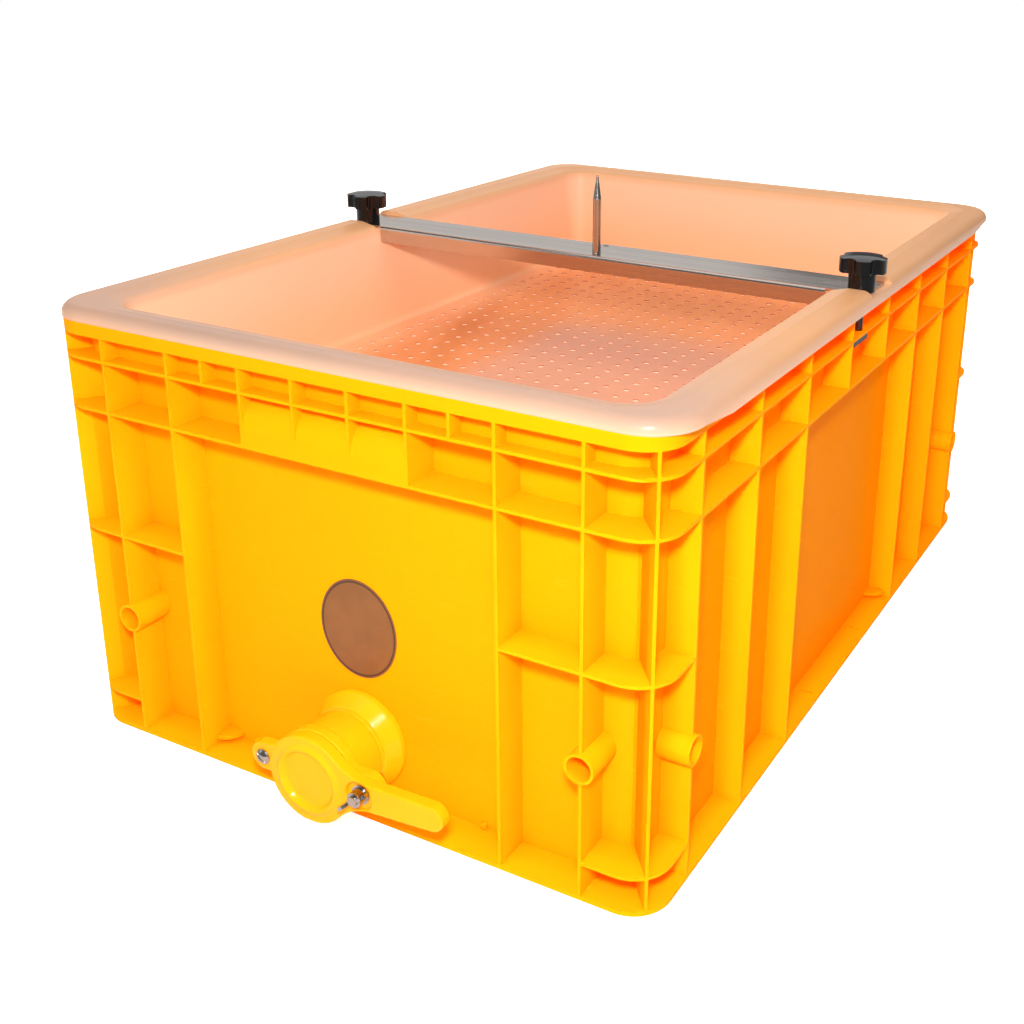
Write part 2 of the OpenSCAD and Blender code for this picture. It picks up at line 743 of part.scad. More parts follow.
// Tapped plate under the crate's top shelf, with the stud near its back end
module clamp_plate(s) {
    color("gray") difference() {
        slab(stud_at(s), clamp_y, clamp_w, clamp_l, clamp_z, top_shelf_z);
        translate([stud_at(s), stud_y, clamp_z - over])
            cylinder(h = clamp_t + 2 * over, d = stud_d + 2 * run_fit);
    }
}

// Outline of the face plate with its two ears
module plate_outline() {
    circle(d = gate_disc_d);
    for (x = [-stop_ear, gate_ear]) translate([x, 0]) circle(d = gate_ear_d);
    translate([-stop_ear, -gate_ear_d / 2]) square([stop_ear + gate_ear, gate_ear_d]);
}

// Stands the children, drawn in XY round the gate's axis, up in the front's plane at y
module in_front(y) {
    translate([gate_x, y, gate_z]) rotate([90, 0, 0]) children();
}

// Leans the children about the gate's axis
module leaning() {
    translate([gate_x, 0, gate_z]) rotate([0, -gate_tilt, 0]) translate([-gate_x, 0, -gate_z]) children();
}

module gate_body() {
    neck_l = panel_y - plate_back_y;
    cone_y = panel_y - gate_flange_t;
    collar_y = cone_y - gate_cone_l - gate_groove_w;
    color("gold") leaning() difference() {
        union() {
            in_front(gate_neck_end_y) cylinder(h = gate_neck_end_y - panel_y, d = gate_thread_d);
            in_front(panel_y) cylinder(h = neck_l, d = gate_neck_d);
            in_front(panel_y) cylinder(h = gate_flange_t, d = gate_flange_d);
            in_front(cone_y) cylinder(h = gate_cone_l, d1 = gate_flange_d, d2 = gate_collar_d);
            in_front(collar_y) cylinder(h = collar_y - plate_back_y, d = gate_collar_d);
            in_front(plate_back_y) linear_extrude(gate_plate_t) plate_outline();
        }
        y_rod(gate_x, gate_z, plate_front_y - over, gate_neck_end_y + over, gate_bore);
        y_rod(pivot_x, gate_z, plate_front_y - over, plate_back_y + over, pivot_d);
        y_rod(stop_x, gate_z, plate_front_y - over, plate_back_y + over, stop_d);
    }
}

module gate_gasket() {
    color("dimgray") in_front(lock_nut_y) difference() {
        cylinder(h = gasket_t, d = lock_nut_d);
        translate([0, 0, -over]) cylinder(h = gasket_t + 2 * over, d = gate_thread_d);
    }
}

module gate_lock_nut() {
    color("gold") in_front(gate_neck_end_y) difference() {
        cylinder(h = lock_nut_h, d = lock_nut_d);
        translate([0, 0, -over]) cylinder(h = lock_nut_h + 2 * over, d = gate_thread_d);
        for (i = [0 : lock_nut_notches - 1]) rotate([0, 0, (i + 0.5) * 360 / lock_nut_notches])
            translate([lock_nut_d / 2, 0, -over]) cylinder(h = lock_nut_h + 2 * over, d = notch_d);
    }
}

// Outline of the lever: disc, blended shoulders and tapering handle with a round end
module lever_outline() {
    root = lever_root_h / 2;
    tip = lever_end_h / 2;
    tip_x = lever_l - tip;
    shoulder = shoulder_share * (root + lever_blend_r) * gate_disc_d / (gate_disc_d + 2 * lever_blend_r);
    circle(d = gate_disc_d);
    difference() {
        translate([0, -shoulder]) square([lever_blend, 2 * shoulder]);
        for (s = [-1, 1]) translate([lever_blend, s * (root + lever_blend_r)])
            circle(lever_blend_r, $fn = 128);
    }
    polygon([[lever_blend, -root], [tip_x, -tip], [tip_x, tip], [lever_blend, root]]);
    translate([tip_x, 0]) circle(tip);
}

module gate_lever() {
    bead_r = lever_ring_w / 2;
    dish_d = lever_ring_d - 2 * lever_ring_w - 2 * lever_land;
    color("gold") leaning() difference() {
        union() {
            in_front(disc_back_y) linear_extrude(lever_t) lever_outline();
            in_front(disc_front_y) rotate_extrude()
                translate([lever_ring_d / 2 - bead_r, 0]) circle(bead_r);
        }
        in_front(disc_front_y + lever_dish) cylinder(h = lever_dish + bead_r + over, d = dish_d);
        y_rod(pivot_x, gate_z, disc_front_y - over, disc_back_y + over, pivot_d + 2 * run_fit);
        y_rod(pivot_x, gate_z, disc_front_y - bead_r - over, spot_y, lever_spot_d);
    }
}

module pivot_bolt() {
    end_y = wing_back_y - wing_hub_h - wing_t;
    color("silver") leaning() {
        y_rod(pivot_x, gate_z, end_y, plate_back_y, pivot_d);
        translate([pivot_x, plate_back_y, gate_z]) rotate([-90, 0, 0])
            cylinder(h = pivot_head_h, d = pivot_head_af / cos(30), $fn = 6);
    }
}

module pivot_washer() {
    color("lightgray") leaning() difference() {
        y_rod(pivot_x, gate_z, wing_back_y, spot_y, pivot_washer_d);
        y_rod(pivot_x, gate_z, wing_back_y - over, spot_y + over, pivot_d);
    }
}

module wing_nut() {
    wing_w = wing_span / 2 - wing_hub_d / 2;
    wing_h = wing_hub_h / 2 + wing_rise;
    hole_d = pivot_d + 2 * run_fit;
    color("silver") leaning() translate([pivot_x, wing_back_y, gate_z])
        rotate([90, 0, 0]) rotate([0, 0, wing_angle]) difference() {
            union() {
                cylinder(h = wing_hub_h, d = wing_hub_d);
                for (s = [-1, 1]) translate([0, wing_t / 2, wing_hub_h / 2]) rotate([90, 0, 0])
                    linear_extrude(wing_t) {
                        translate([s * (wing_span - wing_w) / 2, wing_h - wing_w / 2])
                            circle(wing_w / 2);
                        polygon([[s * hole_d / 2, -wing_hub_h / 4], [s * hole_d / 2, wing_hub_h / 4],
                                 [s * (wing_span / 2 - wing_w), wing_h - wing_w / 2],
                                 [s * wing_span / 2, wing_h - wing_w / 2]]);
                    }
            }
            translate([0, 0, -over]) cylinder(h = wing_hub_h + 2 * over, d = hole_d);
        }
}

module stop_screw() {
    shank_y = plate_back_y + stop_nut_h + stop_d / 4;
    dome_h = stop_head_h - stop_edge_h;
    dome_r = (stop_head_d ^ 2 / 4 + dome_h ^ 2) / (2 * dome_h);
    color("silver") leaning() {
        y_rod(stop_x, gate_z, plate_front_y, shank_y, stop_d);
        difference() {
            intersection() {
                y_rod(stop_x, gate_z, plate_front_y - stop_head_h, plate_front_y, stop_head_d);
                translate([stop_x, plate_front_y - stop_head_h + dome_r, gate_z]) sphere(dome_r);
            }
            translate([stop_x, plate_front_y - stop_head_h, gate_z]) rotate([0, 45, 0])
                cube([stop_head_d + over, 2 * stop_slot_depth, stop_slot_w], center = true);
        }
    }
}

module stop_nut() {
    color("darkgray") leaning() translate([stop_x, plate_back_y, gate_z]) rotate([-90, 0, 0])
        hex_nut(stop_nut_af, stop_nut_h, stop_d);
}

module label() {
    color("saddlebrown") translate([0, panel_y, label_z]) rotate([90, 0, 0]) linear_extrude(label_t)
        polygon([for (i = [0 : label_sides - 1]) let (a = 360 * i / label_sides)
            [label_w / 2 * cos(a), label_h / 2 * sin(a)]]);
}

tank();
drain_tray();
drain_floor();
cross_bar();
spike();
knob(-1);  // knob_left
knob(1);  // knob_right
stud(-1);  // stud_left
stud(1);  // stud_right
clamp_plate(-1);  // clamp_plate_left
clamp_plate(1);  // clamp_plate_right
gate_body();
gate_gasket();
gate_lock_nut();
gate_lever();
pivot_bolt();
pivot_washer();
wing_nut();
stop_screw();
stop_nut();
label();
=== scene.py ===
"""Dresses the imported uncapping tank: finishes, edge rounding, studio and camera."""
import logging
import math
from dataclasses import dataclass, field
from enum import Enum
from typing import ClassVar

import bmesh
import bpy
from mathutils import Matrix, Vector


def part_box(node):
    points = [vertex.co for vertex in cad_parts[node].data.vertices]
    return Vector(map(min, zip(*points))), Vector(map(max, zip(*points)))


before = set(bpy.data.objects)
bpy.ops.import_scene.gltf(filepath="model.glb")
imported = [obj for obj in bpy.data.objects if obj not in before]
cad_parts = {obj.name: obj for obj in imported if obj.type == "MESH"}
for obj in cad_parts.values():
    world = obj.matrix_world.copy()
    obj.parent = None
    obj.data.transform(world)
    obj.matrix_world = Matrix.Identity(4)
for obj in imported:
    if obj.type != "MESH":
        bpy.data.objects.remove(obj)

LOG = logging.getLogger("uncapping_tank")
MM = 0.001
PIXELS = 1024
WELD_GAP = 0.01 * MM
BUMP_DEPTH = 0.6 * MM
RIM_H = 12 * MM
BLACK = (0.0, 0.0, 0.0)
WHITE = (1.0, 1.0, 1.0)

Triple = tuple[float, float, float]
Colour = Triple
Span = tuple[float, float]

# Sizes that the frame gives, in metres.
CRATE_HALF_W, CRATE_HALF_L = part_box("tank")[1].xy
FLOOR_HALF_W, FLOOR_HALF_L, FLOOR_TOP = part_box("drain_floor")[1]
TRAY_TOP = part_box("drain_tray")[1].z
LABEL_LOW, LABEL_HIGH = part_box("label")


class LineRun(Enum):
    """The way that the lines of a brushed or turned metal run."""

    ALONG_X = (0.02, 1.0, 1.0)
    ALONG_Y = (1.0, 0.02, 1.0)
    AROUND_Z = (0.02, 0.02, 1.0)


class EdgeKind(Enum):
    """How large the rounding on a piece's outer edges is, in millimetres."""

    MOULDED = 0.7
    PRESSED = 1.6
    FOLDED = 0.25


class NodeSheet:
    """A node tree with a short way to add and wire nodes."""

    def __init__(self, tree: bpy.types.NodeTree) -> None:
        """Keeps the tree that the nodes go into."""
        self.tree = tree

    def add(
        self,
        kind: str,
        inputs: dict[str | int, object] | None = None,
        **settings: object,
    ) -> bpy.types.Node:
        """Adds one node.

        Args:
            kind: Blender's type name without its "ShaderNode" prefix.
            inputs: a value or an output socket for each named input.
            settings: attributes of the node itself.

        Returns:
            The new node.
        """
        known = kind if kind.startswith("NodeGroup") else "ShaderNode" + kind
        node = self.tree.nodes.new(known)
        for name, value in settings.items():
            setattr(node, name, value)
        for name, value in (inputs or {}).items():
            if isinstance(value, bpy.types.NodeSocket):
                self.tree.links.new(value, node.inputs[name])
            elif isinstance(value, tuple) and len(value) == 3 and node.inputs[name].type == "RGBA":
                node.inputs[name].default_value = (*value, 1.0)
            else:
                node.inputs[name].default_value = value
        return node

    def maths(self, operation: str, first: object, second: object = 0.0) -> bpy.types.NodeSocket:
        """Adds a Math node.

        Args:
            operation: Blender's name of the operation.
            first: value or socket.
            second: value or socket.

        Returns:
            The node's output.
        """
        return self.add("Math", {0: first, 1: second}, operation=operation).outputs[0]

    def span(
        self, value: object, low: float, high: float, out_low: float = 0.0, out_high: float = 1.0
    ) -> bpy.types.NodeSocket:
        """Maps a range of values onto another, held at its ends.

        Args:
            value: the socket that is mapped.
            low: value that gives out_low.
            high: value that gives out_high.
            out_low: result at the low end.
            out_high: result at the high end.

        Returns:
            The mapped value.
        """
        inputs = {"Value": value, 1: low, 2: high, 3: out_low, 4: out_high}
        return self.add("MapRange", inputs, interpolation_type="SMOOTHSTEP").outputs[0]

    def blend(self, share: object, first: object, second: object) -> bpy.types.NodeSocket:
        """Mixes two colours.

        Args:
            share: how much of the second colour, value or socket.
            first: colour or socket.
            second: colour or socket.

        Returns:
            The mixed colour.
        """
        node = self.add("Mix", {0: share}, data_type="RGBA")
        for place, value in ((6, first), (7, second)):
            if isinstance(value, bpy.types.NodeSocket):
                self.tree.links.new(value, node.inputs[place])
            else:
                node.inputs[place].default_value = (*value, 1.0)
        return node.outputs[2]

    def feed(self, node: bpy.types.Node, **sockets: bpy.types.NodeSocket) -> None:
        """Links sockets to a node's inputs.

        Args:
            node: the node that is fed.
            sockets: an output for each input, with underscores for spaces in its name.
        """
        for name, socket in sockets.items():
            self.tree.links.new(socket, node.inputs[name.replace("_", " ")])

    def point(self) -> bpy.types.NodeOutputs:
        """Gives the point on the object as X, Y and Z, in metres."""
        return self.add("SeparateXYZ", {0: self.add("TexCoord").outputs["Object"]}).outputs

    def depths(
        self, point: bpy.types.NodeOutputs, half_w: float, half_l: float
    ) -> list[bpy.types.NodeSocket]:
        """Measures how far a point lies inside the sides and the ends of a box.

        Args:
            point: the point as X, Y and Z.
            half_w: half of the box's width, along X.
            half_l: half of its length, along Y.

        Returns:
            The depth from the sides and the depth from the ends.
        """
        return [
            self.maths("SUBTRACT", half, self.maths("ABSOLUTE", point[axis]))
            for axis, half in (("X", half_w), ("Y", half_l))
        ]

    def sum_of(self, *terms: tuple[bpy.types.NodeSocket, float]) -> bpy.types.NodeSocket:
        """Adds up values, each with its share.

        Args:
            terms: pairs of a socket and its share.

        Returns:
            The sum.
        """
        shares = [self.maths("MULTIPLY", socket, share) for socket, share in terms]
        total = shares[0]
        for share in shares[1:]:
            total = self.maths("ADD", total, share)
        return total

    def place(self, scale: Triple = (1.0, 1.0, 1.0)) -> bpy.types.NodeSocket:
        """Gives the point on the object, stretched.

        Args:
            scale: stretch along each axis.

        Returns:
            The point, in metres times the stretch.
        """
        point = self.add("TexCoord").outputs["Object"]
        return self.add("Mapping", {"Vector": point, "Scale": scale}).outputs[0]


class Effect:
    """Shader node groups that several finishes share, each built once."""

    built: ClassVar[dict[str, bpy.types.NodeTree]] = {}
    sink_scale: ClassVar[float] = 60.0
    sink_lift: ClassVar[float] = 1.6
    cloud_roughness: ClassVar[float] = 0.55
    cloud_span: ClassVar[Span] = (0.3, 0.7)
    scratch_ways: ClassVar[tuple[Triple, ...]] = ((1.0, 22.0, 6.0), (18.0, 2.0, 9.0))
    scratch_wave: ClassVar[float] = 0.4
    scratch_gain: ClassVar[float] = 9.0
    slow_scale: ClassVar[float] = 160.0
    fine_share: ClassVar[float] = 0.6
    line_span: ClassVar[Span] = (0.5, 1.1)

    @classmethod
    def start(
        cls, name: str, inputs: dict[str, float], outputs: dict[str, str]
    ) -> tuple[NodeSheet, bpy.types.Node, bpy.types.Node]:
        """Makes an empty group with its sockets.

        Args:
            name: name of the group.
            inputs: named numbers with their defaults.
            outputs: named results with their socket types.

        Returns:
            The sheet, the node with the inputs and the node for the outputs.
        """
        tree = bpy.data.node_groups.new(name, "ShaderNodeTree")
        for label, value in inputs.items():
            socket = tree.interface.new_socket(label, in_out="INPUT", socket_type="NodeSocketFloat")
            socket.default_value = value
        for label, kind in outputs.items():
            tree.interface.new_socket(label, in_out="OUTPUT", socket_type=kind)
        cls.built[name] = tree
        sheet = NodeSheet(tree)
        return sheet, sheet.add("NodeGroupInput"), sheet.add("NodeGroupOutput")

    @classmethod
    def grain(cls) -> bpy.types.NodeTree:
        """Gives the group of a moulding's skin: fine grain, sink marks and slow changes of tone.

        Returns:
            The group, with Height and Tone.
        """
        if "moulding_grain" in cls.built:
            return cls.built["moulding_grain"]
        sheet, given, result = cls.start(
            "moulding_grain",
            {"Grain Scale": 900.0, "Cloud Scale": 14.0},
            {"Height": "NodeSocketFloat", "Tone": "NodeSocketFloat"},
        )
        point = sheet.place()
        fine = sheet.add("TexNoise", {"Vector": point, "Scale": given.outputs[0], "Detail": 3.0})
        cloudy = {"Scale": given.outputs[1], "Detail": 4.0, "Roughness": cls.cloud_roughness}
        cloud = sheet.add("TexNoise", {"Vector": point, **cloudy})
        sink = sheet.add("TexNoise", {"Vector": point, "Scale": cls.sink_scale, "Detail": 1.0})
        lifted = sheet.maths("MULTIPLY", sink.outputs[0], cls.sink_lift)
        height = sheet.maths("ADD", fine.outputs[0], lifted)
        sheet.feed(result, Height=height, Tone=sheet.span(cloud.outputs[0], *cls.cloud_span))
        return sheet.tree

    @classmethod
    def scuffs(cls) -> bpy.types.NodeTree:
        """Gives the group of fine handling scratches, as a mask.

        Returns:
            The group, with Mask.
        """
        if "handling_scuffs" in cls.built:
            return cls.built["handling_scuffs"]
        sheet, given, result = cls.start(
            "handling_scuffs", {"Scale": 40.0, "Reach": 0.62}, {"Mask": "NodeSocketFloat"}
        )
        total: object = 0.0
        for scale in cls.scratch_ways:
            waved = {"Scale": given.outputs[0], "Detail": 2.0, "Distortion": cls.scratch_wave}
            noise = sheet.add("TexNoise", {"Vector": sheet.place(scale), **waved})
            over = sheet.maths("SUBTRACT", noise.outputs[0], given.outputs[1])
            total = sheet.maths("MAXIMUM", total, sheet.maths("MULTIPLY", over, cls.scratch_gain))
        sheet.feed(result, Mask=sheet.add("Clamp", {"Value": total}).outputs[0])
        return sheet.tree

    @classmethod
    def lines(cls) -> bpy.types.NodeTree:
        """Gives the group of brushing lines, whose run is set by the stretch on each axis.

        Returns:
            The group, with Height and Tone.
        """
        if "brushing_lines" in cls.built:
            return cls.built["brushing_lines"]
        sheet, given, result = cls.start(
            "brushing_lines",
            {"Along X": 1.0, "Along Y": 1.0, "Along Z": 1.0, "Scale": 1800.0},
            {"Height": "NodeSocketFloat", "Tone": "NodeSocketFloat"},
        )
        stretch = sheet.add("CombineXYZ", {n: given.outputs[n] for n in range(3)})
        point = sheet.add("TexCoord").outputs["Object"]
        factors = {0: point, 1: stretch.outputs[0]}
        run = sheet.add("VectorMath", factors, operation="MULTIPLY").outputs[0]
        fine = sheet.add("TexNoise", {"Vector": run, "Scale": given.outputs[3], "Detail": 3.0})
        slow = sheet.add("TexNoise", {"Vector": run, "Scale": cls.slow_scale, "Detail": 2.0})
        share = sheet.maths("MULTIPLY", fine.outputs[0], cls.fine_share)
        tone = sheet.span(sheet.maths("ADD", share, slow.outputs[0]), *cls.line_span)
        sheet.feed(result, Height=fine.outputs[0], Tone=tone)
        return sheet.tree


@dataclass(frozen=True)
class Finish:
    """A finish with its main numbers; each kind adds its own nodes."""

    name: str
    colour: Colour
    roughness: float
    bump: float

    def make(self) -> bpy.types.Material:
        """Builds the material.

        Returns:
            The material, with its surface wired.
        """
        material = bpy.data.materials.new(self.name)
        material.use_nodes = True
        material.node_tree.nodes.clear()
        sheet = NodeSheet(material.node_tree)
        surface = sheet.add("BsdfPrincipled", {"Roughness": self.roughness})
        sheet.feed(sheet.add("OutputMaterial"), Surface=surface.outputs[0])
        self.wire(sheet, surface)
        return material

    def wire(self, sheet: NodeSheet, surface: bpy.types.Node) -> None:
        """Wires the finish's own nodes to the surface.

        Args:
            sheet: the material's nodes.
            surface: the Principled BSDF.
        """
        raise NotImplementedError

    def raise_skin(self, sheet: NodeSheet, surface: bpy.types.Node, height: object) -> None:
        """Bumps the surface.

        Args:
            sheet: the material's nodes.
            surface: the Principled BSDF.
            height: socket with the height.
        """
        inputs = {"Height": height, "Strength": self.bump, "Distance": BUMP_DEPTH}
        sheet.feed(surface, Normal=sheet.add("Bump", inputs).outputs[0])

    def shaded(self, share: float) -> Colour:
        """Gives the finish's colour times a share."""
        return tuple(share * v for v in self.colour)

    def group(self, sheet: NodeSheet, tree: bpy.types.NodeTree, **values: float) -> bpy.types.Node:
        """Places a shared effect with its own values.

        Args:
            sheet: the material's nodes.
            tree: the effect.
            values: its inputs, with underscores for spaces.

        Returns:
            The placed group.
        """
        node = sheet.add("Group", None, node_tree=tree)
        for name, value in values.items():
            node.inputs[name.replace("_", " ")].default_value = value
        return node


@dataclass(frozen=True)
class MouldedPlastic(Finish):
    """Coloured polyethylene: painted shade in its corners, recesses and top rows, a painted red glow
    all over, lightly scuffed.
    """

    # painted shade: recesses deeper than the outer faces take these more orange colours, the darker
    # one on the sides
    painted_recess_shade: Colour = (0.98, 0.44, 0.002)
    painted_side_shade: Colour = (0.88, 0.34, 0.001)
    # painted shade in corners and creases, found by ambient occlusion within corner_reach
    painted_corner_shade: Colour = (0.97, 0.33, 0.001)
    corner_reach: float = 0.016
    # painted shade on the crate's top rows
    painted_top_shade: Colour = (0.98, 0.43, 0.002)
    top_shade_span: Span = (0.19, 0.25)
    # painted glow: a red emission over the whole piece, standing in for light through the plastic
    painted_glow: Colour = (0.3, 0.02, 0.0)
    rubbed: Colour = (1.0, 0.66, 0.03)
    half_w: float = CRATE_HALF_W
    half_l: float = CRATE_HALF_L
    recess_span: Span = (0.006, 0.021)
    gloss: float = 0.012
    corner_span: Span = (0.15, 0.65)
    corner_samples: int = 6
    dim_share: float = 0.93
    worn_share: float = 0.12
    cloud_rough: float = 0.08
    scuff_rough: float = 0.12

    def wire(self, sheet: NodeSheet, surface: bpy.types.Node) -> None:
        """Wires the painted shade of the recesses, top rows and corners, the painted glow, scuffs and
        grain.

        Args:
            sheet: the material's nodes.
            surface: the Principled BSDF.
        """
        grain = self.group(sheet, Effect.grain())
        scuffs = self.group(sheet, Effect.scuffs())
        point = sheet.point()
        depths = sheet.depths(point, self.half_w, self.half_l)
        # painted shade in the recesses, darker on the sides than on the ends
        deep = sheet.span(sheet.maths("MINIMUM", *depths), *self.recess_span)
        tone = sheet.blend(grain.outputs["Tone"], self.shaded(self.dim_share), self.colour)
        aside = sheet.maths("LESS_THAN", *depths)
        tone = sheet.blend(deep, tone, sheet.blend(aside, self.painted_recess_shade, self.painted_side_shade))
        # painted shade: the top rows turn more orange
        high = sheet.span(point["Z"], *self.top_shade_span)
        tone = sheet.blend(high, tone, self.painted_top_shade)
        # painted shade in corners and creases, from ambient occlusion
        reach = {"Distance": self.corner_reach}
        corner_occlusion = sheet.add("AmbientOcclusion", reach, samples=self.corner_samples, only_local=True)
        tone = sheet.blend(sheet.span(corner_occlusion.outputs["AO"], *self.corner_span), self.painted_corner_shade, tone)
        # painted glow: red emission over the whole piece
        surface.inputs["Emission Color"].default_value = (*self.painted_glow, 1.0)
        surface.inputs["Emission Strength"].default_value = 1.0
        mask = scuffs.outputs["Mask"]
        tone = sheet.blend(sheet.maths("MULTIPLY", mask, self.worn_share), tone, self.rubbed)
        rough = sheet.sum_of((grain.outputs["Tone"], self.cloud_rough), (mask, self.scuff_rough))
        rough = sheet.maths("ADD", rough, self.roughness)
        sheet.feed(surface, Base_Color=tone, Roughness=rough)
        surface.inputs["Specular IOR Level"].default_value = self.gloss
        self.raise_skin(sheet, surface, grain.outputs["Height"])


@dataclass(frozen=True)
class MilkyPlastic(Finish):
    """Natural polyethylene: pale on the rim with a painted glow, painted shade on the rim's front
    part, painted orange light from the crate lower down and a faint painted glow on the walls.
    """

    wall: Colour = (0.97, 0.57, 0.36)
    # painted light: the crate's orange light through the tray, strongest at the floor
    low: Colour = (0.98, 0.48, 0.25)
    # painted shade on the rim's front part
    front: Colour = (0.3, 0.217, 0.177)
    # painted glow on the rim
    painted_rim_glow: Colour = (2.1, 1.05, 0.6)
    front_span: Span = (-0.32, -0.12)
    wall_span: Span = (FLOOR_TOP, TRAY_TOP - RIM_H)
    rim_span: Span = (TRAY_TOP - RIM_H, TRAY_TOP)
    # strength of the painted glow on the walls and the rim
    painted_glow: float = 0.12
    gloss: float = 0.2
    cloud_share: float = 0.12
    pale_share: float = 1.08
    scuff_share: float = 0.1
    scuff_rough: float = 0.1

    def wire(self, sheet: NodeSheet, surface: bpy.types.Node) -> None:
        """Wires the painted crate light that changes with height, the painted glow, the painted shade
        on the rim's front part, scuffs and grain.

        Args:
            sheet: the material's nodes.
            surface: the Principled BSDF.
        """
        grain = self.group(sheet, Effect.grain(), Cloud_Scale=7.0)
        scuffs = self.group(sheet, Effect.scuffs(), Scale=55.0, Reach=0.66)
        point = sheet.point()
        rim_share = sheet.span(point["Z"], *self.rim_span)
        # painted crate light: the walls turn orange towards the floor
        wall_share = sheet.span(point["Z"], *self.wall_span)
        tone = sheet.blend(wall_share, self.low, self.wall)
        # painted glow: the walls glow faintly in their own tone, the rim in the rim glow colour
        light = sheet.blend(rim_share, tone, self.painted_rim_glow)
        surface.inputs["Emission Strength"].default_value = self.painted_glow
        # painted shade on the rim's front part, fading out towards the back
        along = sheet.span(point["Y"], *self.front_span)
        tone = sheet.blend(rim_share, tone, sheet.blend(along, self.front, self.colour))
        cloudy = sheet.maths("MULTIPLY", grain.outputs["Tone"], self.cloud_share)
        tone = sheet.blend(cloudy, tone, self.low)
        mask = scuffs.outputs["Mask"]
        scuffed = sheet.maths("MULTIPLY", mask, self.scuff_share)
        tone = sheet.blend(scuffed, tone, self.shaded(self.pale_share))
        rough = sheet.maths("ADD", sheet.sum_of((mask, self.scuff_rough)), self.roughness)
        sheet.feed(surface, Base_Color=tone, Emission_Color=light, Roughness=rough)
        surface.inputs["Specular IOR Level"].default_value = self.gloss
        self.raise_skin(sheet, surface, grain.outputs["Height"])


@dataclass(frozen=True)
class PiercedFloor(Finish):
    """The tray's glossy floor: as the walls at its edge, with painted shade at the holes' mouths,
    painted light deeper in the holes and a faint painted glow over the floor.
    """

    # the floor's edge takes the walls' painted crate light
    edge: Colour = MilkyPlastic.low
    half_w: float = FLOOR_HALF_W
    half_l: float = FLOOR_HALF_L
    fade: float = 0.05
    # painted light in the holes: pale walls that also glow
    glow: Colour = (0.98, 0.62, 0.42)
    # painted shade at the holes' mouths
    painted_mouth_shade: Colour = (0.22, 0.07, 0.025)
    # painted glow over the floor's top
    painted_floor_glow: Colour = (0.36, 0.085, 0.02)
    strength: float = 0.28
    top_z: float = FLOOR_TOP
    mouth_span: Span = (0.1 * MM, 0.2 * MM)
    under_span: Span = (0.5 * MM, 0.7 * MM)
    gloss: float = 1.0
    dim_share: float = 0.9
    edge_rough: float = 0.3
    scuff_rough: float = 0.08

    def wire(self, sheet: NodeSheet, surface: bpy.types.Node) -> None:
        """Wires the fade from its edge, the painted shade at the holes' mouths, the painted glow in
        the holes and over the floor, scuffs and grain.

        Args:
            sheet: the material's nodes.
            surface: the Principled BSDF.
        """
        grain = self.group(sheet, Effect.grain(), Cloud_Scale=9.0)
        scuffs = self.group(sheet, Effect.scuffs(), Scale=45.0, Reach=0.64)
        point = sheet.point()
        depths = sheet.depths(point, self.half_w, self.half_l)
        inside = sheet.span(sheet.maths("MINIMUM", *depths), 0.0, self.fade)
        down = sheet.maths("SUBTRACT", self.top_z, point["Z"])
        # masks for the painted shade at the holes' mouths and the painted light below them
        mouth = sheet.span(down, *self.mouth_span)
        under = sheet.span(down, *self.under_span)
        tone = sheet.blend(grain.outputs["Tone"], self.shaded(self.dim_share), self.colour)
        # the edge fades into the walls' painted crate light
        tone = sheet.blend(inside, self.edge, tone)
        # painted shade at the mouths, painted light deeper in the holes
        tone = sheet.blend(under, sheet.blend(mouth, tone, self.painted_mouth_shade), self.glow)
        # painted glow: faint over the floor, none at the mouths, pale in the holes
        light = sheet.blend(under, sheet.blend(mouth, self.painted_floor_glow, BLACK), self.glow)
        surface.inputs["Emission Strength"].default_value = self.strength
        smooth = sheet.span(inside, 0.0, 1.0, self.edge_rough, self.roughness)
        scuffed = sheet.sum_of((scuffs.outputs["Mask"], self.scuff_rough))
        rough = sheet.maths("ADD", scuffed, smooth)
        sheet.feed(surface, Base_Color=tone, Emission_Color=light, Roughness=rough)
        surface.inputs["Specular IOR Level"].default_value = self.gloss
        self.raise_skin(sheet, surface, grain.outputs["Height"])


@dataclass(frozen=True)
class BrushedSteel(Finish):
    """Stainless or plated steel with fine lines along one way."""

    run: LineRun = LineRun.ALONG_X
    dark_share: float = 0.86
    line_rough: float = 0.06
    scuff_rough: float = 0.1

    def wire(self, sheet: NodeSheet, surface: bpy.types.Node) -> None:
        """Wires the lines into tone, roughness and height.

        Args:
            sheet: the material's nodes.
            surface: the Principled BSDF.
        """
        along = dict(zip(("Along_X", "Along_Y", "Along_Z"), self.run.value))
        lines = self.group(sheet, Effect.lines(), **along)
        scuffs = self.group(sheet, Effect.scuffs(), Scale=70.0, Reach=0.66)
        light = lines.outputs["Tone"]
        tone = sheet.blend(light, self.shaded(self.dark_share), self.colour)
        surface.inputs["Metallic"].default_value = 1.0
        rough = sheet.sum_of((light, self.line_rough), (scuffs.outputs["Mask"], self.scuff_rough))
        rough = sheet.maths("ADD", rough, self.roughness)
        sheet.feed(surface, Base_Color=tone, Roughness=rough)
        self.raise_skin(sheet, surface, lines.outputs["Height"])


